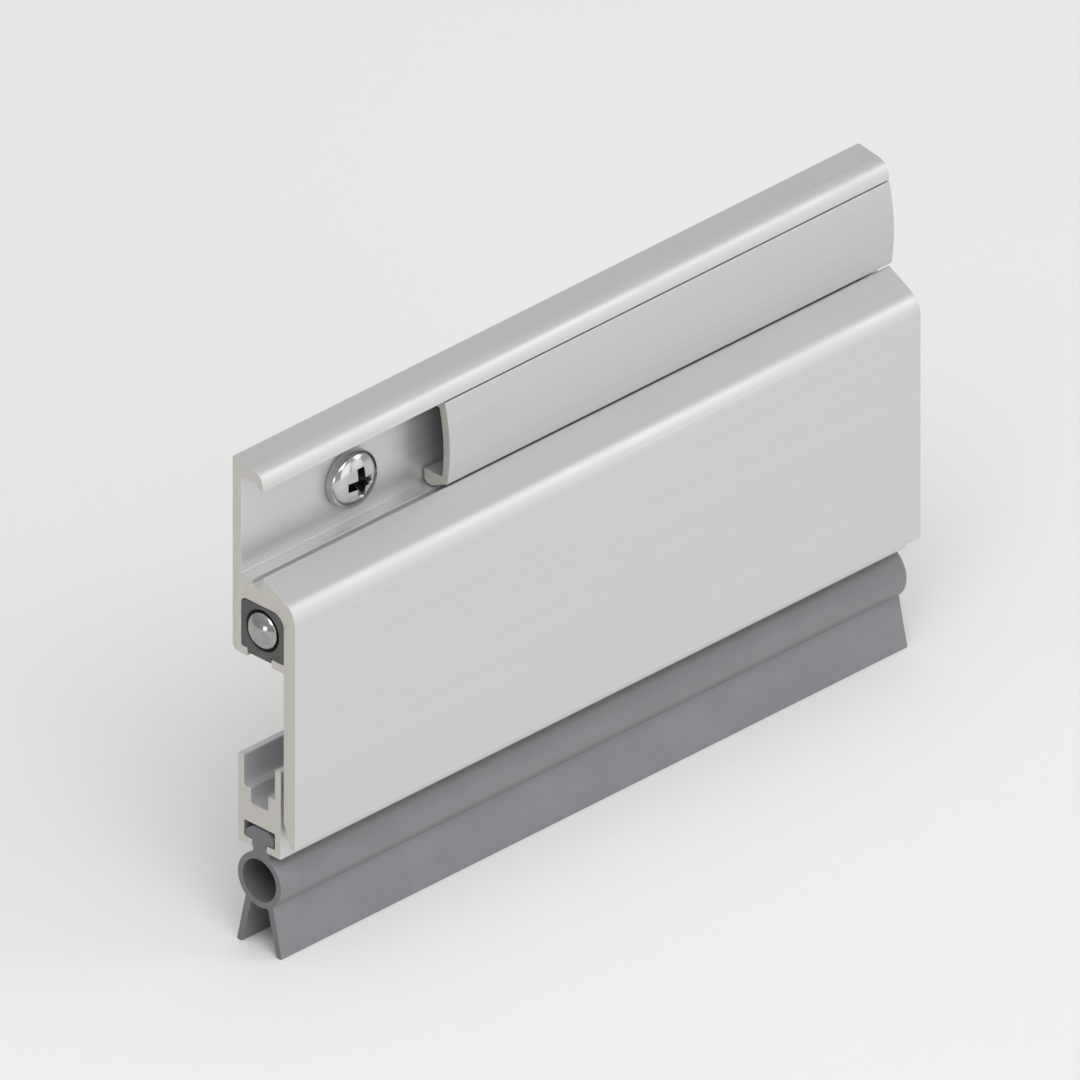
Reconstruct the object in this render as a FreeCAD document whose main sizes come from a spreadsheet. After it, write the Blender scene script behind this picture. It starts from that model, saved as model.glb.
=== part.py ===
import FreeCAD, Part

import os
from math import atan2, hypot, pi, sqrt
from types import SimpleNamespace

import Sketcher
from FreeCAD import Placement, Rotation, Vector

# Automatic door bottom seal: a short cut length, with the bar dropped and the plunger pressed in.
# Pressing the plunger pushes the slider, which bows the leaf spring and drops the bar with its rubber.
#
# Drawing axes: "along" runs to the plunger end, "out" runs away from the mounting face, and "up" starts
# at the line of the mounting screws. Each body is then turned half round on the upright axis, so that
# the front looks to -Y, the plunger to -X, and the origin is on the mounting face at mid-length.

# Driving dimensions, in millimetres

DIMENSIONS = {
    # Whole seal
    "seal_length": 100.0,
    "drop_travel": 12.0,
    "plunger_travel": 9.4,
    "screw_line": 9.1,  # below the top of the housing
    # Housing walls
    "housing_depth": 10.0,
    "back_wall": 1.4,
    "front_wall": 1.85,
    "toe_height": 3.0,
    "toe_thickness": 0.75,
    "heel_radius": 1.0,
    # Hook over the top of the cover strip
    "hook_reach": 5.0,
    "hook_root": 2.1,
    "hook_fall": 0.4,
    "hook_nose": 2.2,
    "hook_lip": 0.95,
    "hook_lip_drop": 0.7,
    # Floor, groove, ridge and shoulder under the cover strip
    "floor_depth": 14.8,  # below the top of the housing
    "groove_depth": 0.8,
    "groove_back": 3.2,
    "groove_front": 4.4,
    "ridge_rise": 0.85,
    "ridge_crest": 4.9,
    "shoulder_slope": 0.54,  # fall for each millimetre outwards
    "shoulder_radius": 3.0,
    # Pocket that the mechanism runs in
    "pocket_depth": 17.8,  # ceiling, below the top of the housing
    "pocket_height": 6.3,
    "pocket_lip": 1.1,
    "pocket_back_radius": 0.8,
    "pocket_front_radius": 1.7,
    "slot_width": 3.8,
    # Cover strip
    "cover_setback": 29.0,
    "cover_wall": 0.95,
    "cover_gap": 0.2,
    "cover_reach": 5.45,
    "cover_crown_radius": 25.0,
    "cover_corner": 0.7,
    "cover_inner_corner": 0.3,
    "cover_lead_in": 0.5,
    # Drop bar
    "bar_height": 11.4,
    "bar_back_gap": 0.9,
    "bar_front_gap": 0.45,
    "bar_show": 2.2,  # below the front plate
    "bar_wall": 0.95,
    "lift_clearance": 1.1,
    "channel_depth": 3.9,
    "chase_width": 2.75,
    "chase_depth": 1.9,
    "bar_lip": 0.95,
    "foot_slot_height": 2.05,
    "foot_slot_mouth": 2.25,
    # Rubber
    "rubber_gap": 0.1,
    "foot_side_gap": 0.25,
    "foot_bevel": 1.0,
    "foot_edge": 0.8,
    "foot_height": 1.6,
    "bulb_radius": 3.45,
    "bulb_wall": 0.8,
    "bulb_drop": 4.0,  # centre, below the bar
    "fin_root": 1.35,
    "fin_splay": 1.4,
    "fin_thickness": 0.85,
    "fin_reach": 9.0,  # tips, below the centre of the bulb
    # Mounting screws
    "screw_inset": 17.0,
    "screw_radius": 2.0,
    "screw_length": 12.0,
    "screw_point": 3.0,
    "screw_neck_radius": 1.6,
    "screw_hole_gap": 0.25,
    "screw_head_radius": 3.6,
    "screw_head_height": 2.4,
    "screw_head_rim": 1.2,
    "recess_reach": 2.0,
    "recess_width": 1.0,
    "recess_depth": 1.5,
    # Plunger
    "fit_gap": 0.05,
    "guide_length": 10.0,
    "guide_mouth_gap": 0.3,
    "guide_mouth_depth": 1.0,
    "guide_neck_rise": 0.5,
    "button_radius": 2.3,
    "button_length": 14.0,
    "button_dome": 1.1,
    "flat_start": 3.0,
    "flat_length": 3.0,
    "flat_width": 3.6,
    "rod_radius": 1.5,
    "rod_grip": 8.0,
    "rod_seat": 6.0,
    "pin_radius": 0.75,
    # Slider, shoe and anchor
    "slide_gap": 0.1,
    "neck_gap": 0.2,
    "neck_drop": 0.5,
    "slider_length": 8.0,
    "stop_gap": 0.5,
    "anchor_length": 9.0,
    "anchor_inset": 1.0,
    "shoe_length": 8.0,
    "shoe_height": 1.8,
    "shoe_tongue": 0.9,
    "grub_radius": 1.5,
    "grub_inset": 2.0,
    "grub_recess": 0.4,
    "grub_socket": 1.5,
    "grub_socket_depth": 1.6,
    # Leaf spring, its rivets and its screw
    "leaf_width": 3.2,
    "leaf_thickness": 0.45,
    "leaf_tab": 5.0,
    "leaf_hole_gap": 0.1,
    "rivet_radius": 0.9,
    "rivet_head_radius": 1.5,
    "rivet_head_height": 0.6,
    "rivet_shank": 2.6,
    "shoe_screw_radius": 0.9,
    "shoe_screw_head_radius": 1.9,
    "shoe_screw_head_height": 1.2,
}

LEFT = "left"
RIGHT = "right"
START, END, CENTRE = range(1, 4)
HALF_TURN = Placement(Vector(0, 0, 0), Rotation(Vector(0, 0, 1), 180))
SQUARE_ROOT_OF_3 = sqrt(3)

doc = FreeCAD.newDocument("door_bottom_seal")
bodies = []
cuts = []


# Sizes that carry their own sheet formula


class Size:
    """A number with the sheet formula that gives it, so that one sum both draws and binds a size."""

    def __init__(self, value, formula):
        self.value = value
        self.formula = formula

    def joined(self, sign, other, value):
        return Size(value, f"({self.formula} {sign} {as_size(other).formula})")

    def __add__(self, other):
        return self.joined("+", other, self.value + as_size(other).value)

    def __sub__(self, other):
        return self.joined("-", other, self.value - as_size(other).value)

    def __mul__(self, other):
        return self.joined("*", other, self.value * as_size(other).value)

    def __truediv__(self, other):
        return self.joined("/", other, self.value / as_size(other).value)

    def __neg__(self):
        return Size(-self.value, f"(-{self.formula})")


def as_size(number):
    if isinstance(number, Size):
        return number
    return Size(float(number), repr(float(number)))


def root(size):
    return Size(sqrt(size.value), f"sqrt({size.formula})")


def dome_radius(rim, height):
    """Radius of the ball whose cap has this rim radius and height."""
    return (rim * rim + height * height) / (height * 2)


dimension_sheet = doc.addObject("Spreadsheet::Sheet", "Dimensions")
place_sheet = doc.addObject("Spreadsheet::Sheet", "Places")
dim = SimpleNamespace()
at = SimpleNamespace()

for row, (name, number) in enumerate(DIMENSIONS.items(), start=1):
    dimension_sheet.set(f"A{row}", name)
    dimension_sheet.set(f"B{row}", str(number))
    dimension_sheet.setAlias(f"B{row}", name)
    setattr(dim, name, Size(number, f"Dimensions.{name}"))


def place(name, size):
    """Keep a worked-out size in a formula cell of its own."""
    row = len(vars(at)) + 1
    place_sheet.set(f"A{row}", name)
    place_sheet.set(f"B{row}", "=" + size.formula)
    place_sheet.setAlias(f"B{row}", name)
    setattr(at, name, Size(size.value, f"Places.{name}"))


# Places worked out from the dimensions: heights first

place("top", dim.screw_line * 1)
place("hook_under", at.top - dim.hook_root)
place("hook_tip", at.hook_under - dim.hook_lip_drop)
place("floor_up", at.top - dim.floor_depth)
place("groove_floor", at.floor_up - dim.groove_depth)
place("crest_up", at.floor_up + dim.ridge_rise)
place("ceiling", at.top - dim.pocket_depth)
place("lips_top", at.ceiling - dim.pocket_height)
place("lips_bottom", at.lips_top - dim.pocket_lip)
place("plunger_up", (at.ceiling + at.lips_top) / 2)
place("bar_top", at.lips_bottom - dim.lift_clearance - dim.drop_travel)
place("bar_bottom", at.bar_top - dim.bar_height)
place("housing_bottom", at.bar_bottom + dim.bar_show)
place("channel_floor", at.bar_top - dim.channel_depth)
place("chase_floor", at.channel_floor - dim.chase_depth)
place("foot_seat", at.bar_bottom + dim.bar_lip)
place("foot_ceiling", at.foot_seat + dim.foot_slot_height)
place("bulb_up", at.bar_bottom - dim.bulb_drop)
place("fin_tip", at.bulb_up - dim.fin_reach)
place("neck_bottom", at.lips_bottom - dim.neck_drop)
place("leaf_end_top", at.neck_bottom - dim.fit_gap)
place("leaf_end", at.leaf_end_top - dim.leaf_thickness / 2)
place("shoe_top", at.channel_floor + dim.shoe_height)
place("leaf_middle", at.shoe_top + dim.fit_gap + dim.leaf_thickness / 2)

# Distances out from the mounting face

place("front_inside", dim.housing_depth - dim.front_wall)
place("bar_front", at.front_inside - dim.bar_front_gap)
place("spring_line", (dim.bar_back_gap + at.bar_front) / 2)
place("bar_half", at.bar_front - at.spring_line)
place("slot_back", at.spring_line - dim.slot_width / 2)
place("slot_front", at.spring_line + dim.slot_width / 2)
place("plunger_out", (dim.back_wall + at.front_inside) / 2)
place("bar_inside", at.bar_half - dim.bar_wall)

# Distances along the seal

place("seal_end", dim.seal_length / 2)
place("guide_inner", at.seal_end - dim.guide_length)
place("slider_front", at.guide_inner - dim.stop_gap - dim.plunger_travel)
place("slider_back", at.slider_front - dim.slider_length)
place("anchor_back", dim.anchor_inset - at.seal_end)
place("anchor_front", at.anchor_back + dim.anchor_length)
place("shoe_middle", (at.slider_back + at.anchor_front) / 2)
place("shoe_front", at.shoe_middle + dim.shoe_length / 2)
place("shoe_back", at.shoe_middle - dim.shoe_length / 2)
place("button_back", at.seal_end - dim.button_length)
place("screw_along", at.seal_end - dim.screw_inset)
place("shoe_screw_along", at.shoe_middle + dim.plunger_travel / 4)
place("slot_end_along", at.shoe_middle - dim.plunger_travel / 4)
place("slider_rivet_along", at.slider_back + dim.leaf_tab / 2)
place("anchor_rivet_along", at.anchor_front - dim.leaf_tab / 2)
place("pin_along", at.slider_front - dim.rod_seat / 2)

# Shoulder: where its slope would meet the front, and the arc that rounds them into each other

place("slope_length", root(dim.shoulder_slope * dim.shoulder_slope + 1))
place("shoulder_meet", at.crest_up - dim.shoulder_slope * (dim.housing_depth - dim.ridge_crest))
place("shoulder_run", dim.shoulder_radius * (at.slope_length - dim.shoulder_slope))

# Leaf: each half is an S of two equal arcs, level at both ends

place("leaf_span", at.slider_back - at.shoe_front)
place("leaf_fall", at.leaf_end - at.leaf_middle)
place("leaf_radius", (at.leaf_span * at.leaf_span + at.leaf_fall * at.leaf_fall) / (at.leaf_fall * 4))
place("leaf_sine", at.leaf_span / (at.leaf_radius * 2))
place("leaf_cosine", -(at.leaf_fall / (at.leaf_radius * 2)) + 1)


# Sketches and features


def bind(owner, name, size):
    owner.setExpression(name, as_size(size).formula)


def new_body(label):
    body = doc.addObject("PartDesign::Body", label)
    body.AllowCompound = True
    body.Placement = HALF_TURN
    bodies.append(body)
    return body


def origin_plane(body, role):
    return next(item for item in body.Origin.OriginFeatures if item.Role == role)


def new_sketch(body, role, right=0, up=0, forward=0):
    """A sketch on one of the body's own planes, shifted in the plane and along its normal."""
    sketch = body.newObject("Sketcher::SketchObject", body.Name + "_sketch")
    sketch.AttachmentSupport = [(origin_plane(body, role), "")]
    sketch.MapMode = "FlatFace"
    shift = [as_size(size) for size in (right, up, forward)]
    sketch.AttachmentOffset = Placement(Vector(*[size.value for size in shift]), Rotation())
    for axis, size in zip("xyz", shift):
        bind(sketch, f"AttachmentOffset.Base.{axis}", size)
    return sketch


def section_sketch(body, along=0):
    """Across the seal: out to the right, up is up."""
    return new_sketch(body, "YZ_Plane", forward=along)


def side_sketch(body, out, along=0, up=0):
    """Lengthwise and upright, at a distance from the mounting face."""
    return new_sketch(body, "XZ_Plane", along, up, -as_size(out))


def plan_sketch(body, up=0, along=0):
    """Lengthwise and level: along to the right, out is up."""
    return new_sketch(body, "XY_Plane", along, 0, up)


def add_constraints(sketch, constraints):
    """Add (kind, items, size) constraints together, then bind the sizes."""
    listed = []
    for kind, items, size in constraints:
        values = [] if size is None else [size.value]
        listed.append(Sketcher.Constraint(kind, *items, *values))
    indices = sketch.addConstraint(listed)
    for index, (kind, items, size) in zip(indices, constraints):
        if size is not None:
            bind(sketch, f"Constraints[{index}]", size)


def arc_between(start, end, turn, radius):
    """The shorter arc from start to end that turns left or right."""
    side = 1 if turn == LEFT else -1
    chord = hypot(end.x - start.x, end.y - start.y)
    offset = side * sqrt(max(radius**2 - chord**2 / 4, 0)) / chord
    middle = (start + end) / 2
    centre = middle + Vector(start.y - end.y, end.x - start.x) * offset
    first, last = (start, end) if turn == LEFT else (end, start)
    begin = atan2(first.y - centre.y, first.x - centre.x)
    finish = atan2(last.y - centre.y, last.x - centre.x)
    if finish < begin:
        finish += 2 * pi
    return Part.ArcOfCircle(Part.Circle(centre, Vector(0, 0, 1), radius), begin, finish)


def draw(sketch, corners):
    """A closed outline. A corner is (right, up), or (right, up, turn, radius) where an arc leaves it."""
    corners = [(as_size(right), as_size(up), *arc) for right, up, *arc in corners]
    points = [Vector(right.value, up.value) for right, up, *arc in corners]
    ends = []
    for index, (right, up, *arc) in enumerate(corners):
        start = points[index]
        end = points[(index + 1) % len(points)]
        if arc:
            turn, radius = arc
            edge = arc_between(start, end, turn, radius.value)
        else:
            turn = LEFT
            edge = Part.LineSegment(start, end)
        first, last = (START, END) if turn == LEFT else (END, START)
        ends.append((sketch.addGeometry(edge, False), first, last))
    constraints = []
    for index, (right, up, *arc) in enumerate(corners):
        edge, first, last = ends[index]
        next_edge, next_first, next_last = ends[(index + 1) % len(ends)]
        constraints.append(("Coincident", (edge, last, next_edge, next_first), None))
        constraints.append(("DistanceX", (edge, first), right))
        constraints.append(("DistanceY", (edge, first), up))
        if arc:
            constraints.append(("Radius", (edge,), arc[1]))
    add_constraints(sketch, constraints)


def draw_circle(sketch, right, up, radius):
    right, up = as_size(right), as_size(up)
    circle = Part.Circle(Vector(right.value, up.value), Vector(0, 0, 1), radius.value)
    edge = sketch.addGeometry(circle, False)
    add_constraints(
        sketch,
        [
            ("DistanceX", (edge, CENTRE), right),
            ("DistanceY", (edge, CENTRE), up),
            ("Radius", (edge,), radius),
        ],
    )


def rectangle(left, right, low, high):
    return [(left, low), (right, low), (right, high), (left, high)]


def pad(body, sketch, length, symmetric=False):
    feature = body.newObject("PartDesign::Pad", body.Name + "_pad")
    feature.Profile = sketch
    feature.SideType = "Symmetric" if symmetric else "One side"
    feature.Length = length.value
    bind(feature, "Length", length)
    return feature


def cut_through(body, sketch):
    feature = body.newObject("PartDesign::Pocket", body.Name + "_cut")
    feature.Profile = sketch
    feature.Type = "ThroughAll"
    feature.SideType = "Symmetric"
    cuts.append(feature)
    return feature


def cut_in(body, sketch, depth, with_normal=False):
    """A blind cut against the sketch's normal, or along it."""
    feature = body.newObject("PartDesign::Pocket", body.Name + "_cut")
    feature.Profile = sketch
    feature.Reversed = with_normal
    feature.Length = depth.value
    bind(feature, "Length", depth)
    cuts.append(feature)
    return feature


def turn_about(body, sketch, axis):
    feature = body.newObject("PartDesign::Revolution", body.Name + "_turned")
    feature.Profile = sketch
    feature.ReferenceAxis = (sketch, [axis])
    return feature


# Extrusions


def make_housing():
    body = new_body("housing")
    slope_share = at.shoulder_run / at.slope_length
    ceiling_front = at.front_inside - dim.pocket_front_radius
    ceiling_back = dim.back_wall + dim.pocket_back_radius
    nose_up = at.top - dim.hook_fall
    lip_inside = dim.hook_reach - dim.hook_lip
    section = section_sketch(body)
    draw(
        section,
        [
            # Hook
            (0, at.top),
            (dim.hook_reach - dim.hook_nose, nose_up, RIGHT, dim.hook_nose),
            (dim.hook_reach, nose_up - dim.hook_nose),
            (dim.hook_reach, at.hook_tip),
            (lip_inside, at.hook_tip),
            (lip_inside, at.hook_under),
            (dim.back_wall, at.hook_under),
            # Floor, groove, ridge and shoulder
            (dim.back_wall, at.floor_up),
            (dim.groove_back, at.floor_up),
            (dim.groove_back, at.groove_floor),
            (dim.groove_front, at.groove_floor),
            (dim.ridge_crest, at.crest_up),
            (
                dim.housing_depth - slope_share,
                at.shoulder_meet + slope_share * dim.shoulder_slope,
                RIGHT,
                dim.shoulder_radius,
            ),
            (dim.housing_depth, at.shoulder_meet - at.shoulder_run),
            # Front plate with its bevelled toe
            (dim.housing_depth, at.housing_bottom),
            (dim.housing_depth - dim.toe_thickness, at.housing_bottom),
            (at.front_inside, at.housing_bottom + dim.toe_height),
            # Pocket and its two lips
            (at.front_inside, at.lips_bottom),
            (at.slot_front, at.lips_bottom),
            (at.slot_front, at.lips_top),
            (at.front_inside, at.lips_top),
            (at.front_inside, at.ceiling - dim.pocket_front_radius, LEFT, dim.pocket_front_radius),
            (ceiling_front, at.ceiling),
            (ceiling_back, at.ceiling, LEFT, dim.pocket_back_radius),
            (dim.back_wall, at.ceiling - dim.pocket_back_radius),
            (dim.back_wall, at.lips_top),
            (at.slot_back, at.lips_top),
            (at.slot_back, at.lips_bottom),
            (dim.heel_radius, at.lips_bottom, RIGHT, dim.heel_radius),
            (0, at.lips_bottom + dim.heel_radius),
        ],
    )
    pad(body, section, dim.seal_length, symmetric=True)
    holes = side_sketch(body, 0)
    for along in (at.screw_along, -at.screw_along):
        draw_circle(holes, along, 0, dim.screw_radius + dim.screw_hole_gap)
    cut_through(body, holes)


def make_cover_strip():
    """A crowned strip: its tongue goes behind the hook and its barbed leg snaps over the ridge."""
    body = new_body("cover_strip")
    tongue_front = dim.hook_reach - dim.hook_lip - dim.cover_gap
    tongue_back = tongue_front - dim.cover_wall
    shelf = at.hook_tip - dim.cover_gap
    shelf_under = shelf - dim.cover_wall
    leg_under = at.crest_up + dim.cover_gap
    leg_over = leg_under + dim.cover_wall
    leg_tip = dim.back_wall + dim.cover_gap
    barb_under = at.floor_up + dim.cover_gap
    corner_out = dim.cover_reach - dim.cover_corner
    corner_up = leg_under + dim.cover_corner
    inside = dim.cover_reach - dim.cover_wall
    section = section_sketch(body, -at.seal_end)
    draw(
        section,
        [
            (tongue_back, at.hook_under - dim.cover_gap),
            (tongue_front, at.hook_under - dim.cover_gap),
            (tongue_front, shelf),
            (dim.hook_reach, shelf, RIGHT, dim.cover_crown_radius),
            (dim.cover_reach, corner_up, RIGHT, dim.cover_corner),
            (corner_out, leg_under),
            (dim.groove_back - dim.cover_gap, barb_under),
            (leg_tip + dim.cover_lead_in, barb_under),
            (leg_tip, barb_under + dim.cover_lead_in),
            (leg_tip, leg_over),
            (inside - dim.cover_inner_corner, leg_over, LEFT, dim.cover_inner_corner),
            (inside, leg_over + dim.cover_inner_corner, LEFT, dim.cover_crown_radius - dim.cover_wall),
            (dim.hook_reach - dim.cover_wall, shelf_under),
            (tongue_back, shelf_under),
        ],
    )
    pad(body, section, dim.seal_length - dim.cover_setback)


def make_drop_bar():
    """Upper channel with a chase in its floor, a web, and a slot for the rubber's foot."""
    body = new_body("drop_bar")
    middle = at.spring_line
    steps = [
        (at.bar_inside, at.bar_top),
        (at.bar_half, at.bar_top),
        (at.bar_half, at.bar_bottom),
        (dim.foot_slot_mouth / 2, at.bar_bottom),
        (dim.foot_slot_mouth / 2, at.foot_seat),
        (at.bar_inside, at.foot_seat),
        (at.bar_inside, at.foot_ceiling),
    ]
    chase = [
        (dim.chase_width / 2, at.chase_floor),
        (dim.chase_width / 2, at.channel_floor),
        (at.bar_inside, at.channel_floor),
    ]
    front = [(middle + out, up) for out, up in chase + steps]
    back = [(middle - out, up) for out, up in reversed(chase + steps)]
    section = section_sketch(body)
    draw(section, front + back)
    pad(body, section, dim.seal_length, symmetric=True)


def make_seal_gasket():
    """Foot in the bar's slot, neck, hollow bulb and two splayed fins, all one rubber extrusion."""
    body = new_body("seal_gasket")
    middle = at.spring_line
    neck = dim.foot_slot_mouth / 2 - dim.rubber_gap
    seat = at.foot_seat + dim.rubber_gap
    fin_outer = dim.fin_root + dim.fin_thickness

    def bulb_height(half_width):
        return root(dim.bulb_radius * dim.bulb_radius - half_width * half_width)

    foot = at.bar_inside - dim.foot_side_gap
    crown = foot - dim.foot_bevel
    bulb = dim.bulb_radius
    tip_inner = dim.fin_root + dim.fin_splay
    tip_outer = fin_outer + dim.fin_splay
    section = section_sketch(body)
    draw(
        section,
        [
            (middle - foot, seat),
            (middle - foot, seat + dim.foot_edge),
            (middle - crown, seat + dim.foot_height),
            (middle + crown, seat + dim.foot_height),
            (middle + foot, seat + dim.foot_edge),
            (middle + foot, seat),
            (middle + neck, seat),
            (middle + neck, at.bulb_up + bulb_height(neck), RIGHT, bulb),
            (middle + bulb, at.bulb_up, RIGHT, bulb),
            (middle + fin_outer, at.bulb_up - bulb_height(fin_outer)),
            (middle + tip_outer, at.fin_tip),
            (middle + tip_inner, at.fin_tip),
            (middle + dim.fin_root, at.bulb_up - bulb_height(dim.fin_root), RIGHT, bulb),
            (middle - dim.fin_root, at.bulb_up - bulb_height(dim.fin_root)),
            (middle - tip_inner, at.fin_tip),
            (middle - tip_outer, at.fin_tip),
            (middle - fin_outer, at.bulb_up - bulb_height(fin_outer), RIGHT, bulb),
            (middle - bulb, at.bulb_up, RIGHT, bulb),
            (middle - neck, at.bulb_up + bulb_height(neck)),
            (middle - neck, seat),
        ],
    )
    draw_circle(section, middle, at.bulb_up, dim.bulb_radius - dim.bulb_wall)
    pad(body, section, dim.seal_length, symmetric=True)


# Fixings


def make_mounting_screws():
    """Two pan-head screws through the back wall, plain under the head; the second is mirrored."""
    body = new_body("mounting_screws")
    point = dim.back_wall - dim.screw_length
    crown = dim.back_wall + dim.screw_head_height
    dome = dim.screw_head_height - dim.screw_head_rim
    profile = plan_sketch(body, 0, at.screw_along)
    draw(
        profile,
        [
            (0, point),
            (dim.screw_radius, point + dim.screw_point),
            (dim.screw_radius, 0),
            (dim.screw_neck_radius, dim.screw_radius - dim.screw_neck_radius),
            (dim.screw_neck_radius, dim.back_wall),
            (dim.screw_head_radius, dim.back_wall),
            (
                dim.screw_head_radius,
                dim.back_wall + dim.screw_head_rim,
                LEFT,
                dome_radius(dim.screw_head_radius, dome),
            ),
            (0, crown),
        ],
    )
    screw = turn_about(body, profile, "V_Axis")
    recess = side_sketch(body, crown, at.screw_along)
    reach = dim.recess_reach
    half = dim.recess_width / 2
    quarter = [(reach, -half), (reach, half), (half, half)]
    arms = []
    for turn in range(4):
        arms += quarter
        quarter = [(-up, right) for right, up in quarter]
    draw(recess, arms)
    cross = cut_in(body, recess, dim.recess_depth, with_normal=True)
    pair = body.newObject("PartDesign::Mirrored", body.Name + "_pair")
    pair.Originals = [screw, cross]
    pair.MirrorPlane = (origin_plane(body, "YZ_Plane"), [""])
    body.Tip = pair


def make_rivet(label, along):
    """Domed rivet up through a leaf end into the block above it."""
    body = new_body(label)
    seat = at.leaf_end_top - dim.leaf_thickness - dim.fit_gap
    profile = side_sketch(body, at.spring_line, along)
    draw(
        profile,
        [
            (0, seat - dim.rivet_head_height, LEFT, dome_radius(dim.rivet_head_radius, dim.rivet_head_height)),
            (dim.rivet_head_radius, seat),
            (dim.rivet_radius, seat),
            (dim.rivet_radius, at.neck_bottom + dim.rivet_shank),
            (0, at.neck_bottom + dim.rivet_shank),
        ],
    )
    turn_about(body, profile, "V_Axis")


def make_shoe_screw():
    """Small pan-head screw down through the leaf's slot into the shoe."""
    body = new_body("shoe_screw")
    seat = at.leaf_middle + dim.leaf_thickness / 2 + dim.fit_gap
    head = dim.shoe_screw_head_radius
    rim = dim.shoe_screw_head_height / 2
    profile = side_sketch(body, at.spring_line, at.shoe_screw_along)
    draw(
        profile,
        [
            (0, at.channel_floor),
            (dim.shoe_screw_radius, at.channel_floor),
            (dim.shoe_screw_radius, seat),
            (head, seat),
            (head, seat + rim, LEFT, dome_radius(head, dim.shoe_screw_head_height - rim)),
            (0, seat + dim.shoe_screw_head_height),
        ],
    )
    turn_about(body, profile, "V_Axis")


def make_anchor_grub_screw():
    """Grub screw that bears on the pocket's ceiling and jams the anchor down on the lips."""
    body = new_body("anchor_grub_screw")
    along = at.anchor_back + dim.grub_inset
    low = at.lips_top + dim.grub_recess
    outline = plan_sketch(body, low)
    draw_circle(outline, along, at.spring_line, dim.grub_radius)
    pad(body, outline, at.ceiling - dim.fit_gap - low)
    corner = dim.grub_socket / SQUARE_ROOT_OF_3
    flat = dim.grub_socket / 2
    socket = plan_sketch(body, low, along)
    draw(
        socket,
        [
            (corner, at.spring_line),
            (corner / 2, at.spring_line + flat),
            (-corner / 2, at.spring_line + flat),
            (-corner, at.spring_line),
            (-corner / 2, at.spring_line - flat),
            (corner / 2, at.spring_line - flat),
        ],
    )
    cut_in(body, socket, dim.grub_socket_depth, with_normal=True)


# Mechanism in the pocket


def pocket_block(body, gap, neck_gap, start, length, neck_start, neck_length, neck_bottom):
    """A block that fits the pocket, with a neck down through the slot."""
    back = dim.back_wall + gap
    front = at.front_inside - gap
    high = at.ceiling - gap
    low = at.lips_top + gap
    back_radius = dim.pocket_back_radius - gap
    front_radius = dim.pocket_front_radius - gap
    block = section_sketch(body, start)
    draw(
        block,
        [
            (back, low),
            (back, high - back_radius, RIGHT, back_radius),
            (back + back_radius, high),
            (front - front_radius, high, RIGHT, front_radius),
            (front, high - front_radius),
            (front, low),
        ],
    )
    pad(body, block, length)
    neck = section_sketch(body, neck_start)
    draw(neck, rectangle(at.slot_back + neck_gap, at.slot_front - neck_gap, neck_bottom, at.plunger_up))
    pad(body, neck, neck_length)


def cut_rivet_hole(body, along):
    hole = plan_sketch(body, at.neck_bottom)
    draw_circle(hole, along, at.spring_line, dim.rivet_radius + dim.fit_gap)
    cut_in(body, hole, dim.rivet_shank + dim.fit_gap, with_normal=True)


def make_plunger_guide():
    body = new_body("plunger_guide")
    pocket_block(
        body,
        dim.fit_gap,
        dim.fit_gap,
        at.guide_inner,
        dim.guide_length,
        at.guide_inner,
        dim.guide_length,
        at.lips_bottom + dim.guide_neck_rise,
    )
    bore = section_sketch(body)
    draw_circle(bore, at.plunger_out, at.plunger_up, dim.button_radius + dim.fit_gap)
    cut_through(body, bore)
    mouth = section_sketch(body, at.seal_end)
    draw_circle(mouth, at.plunger_out, at.plunger_up, dim.button_radius + dim.guide_mouth_gap)
    cut_in(body, mouth, dim.guide_mouth_depth)


def make_plunger_button():
    """Button on the rod: its dome stands proud of the bush, its two flats show once it is out."""
    body = new_body("plunger_button")
    bore = dim.rod_radius + dim.fit_gap
    bore_end = at.button_back + dim.rod_grip + dim.fit_gap
    profile = side_sketch(body, at.plunger_out, 0, at.plunger_up)
    draw(
        profile,
        [
            (at.button_back, bore),
            (bore_end, bore),
            (bore_end, 0),
            (at.seal_end + dim.button_dome, 0, LEFT, dome_radius(dim.button_radius, dim.button_dome)),
            (at.seal_end, dim.button_radius),
            (at.button_back, dim.button_radius),
        ],
    )
    turn_about(body, profile, "H_Axis")
    flat_end = at.seal_end - dim.flat_start
    half = dim.flat_width / 2
    flats = side_sketch(body, at.plunger_out, 0, at.plunger_up)
    draw(flats, rectangle(flat_end - dim.flat_length, flat_end, half, dim.button_radius * 2))
    draw(flats, rectangle(flat_end - dim.flat_length, flat_end, -dim.button_radius * 2, -half))
    cut_through(body, flats)


def make_plunger_rod():
    body = new_body("plunger_rod")
    start = at.slider_front - dim.rod_seat
    outline = section_sketch(body, start)
    draw_circle(outline, at.plunger_out, at.plunger_up, dim.rod_radius)
    pad(body, outline, at.button_back + dim.rod_grip - start)
    hole = side_sketch(body, 0)
    draw_circle(hole, at.pin_along, at.plunger_up, dim.pin_radius + dim.fit_gap)
    cut_through(body, hole)


def make_rod_pin():
    body = new_body("rod_pin")
    outline = side_sketch(body, at.plunger_out)
    draw_circle(outline, at.pin_along, at.plunger_up, dim.pin_radius)
    pad(body, outline, at.front_inside - dim.back_wall - dim.slide_gap * 4, symmetric=True)


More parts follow.
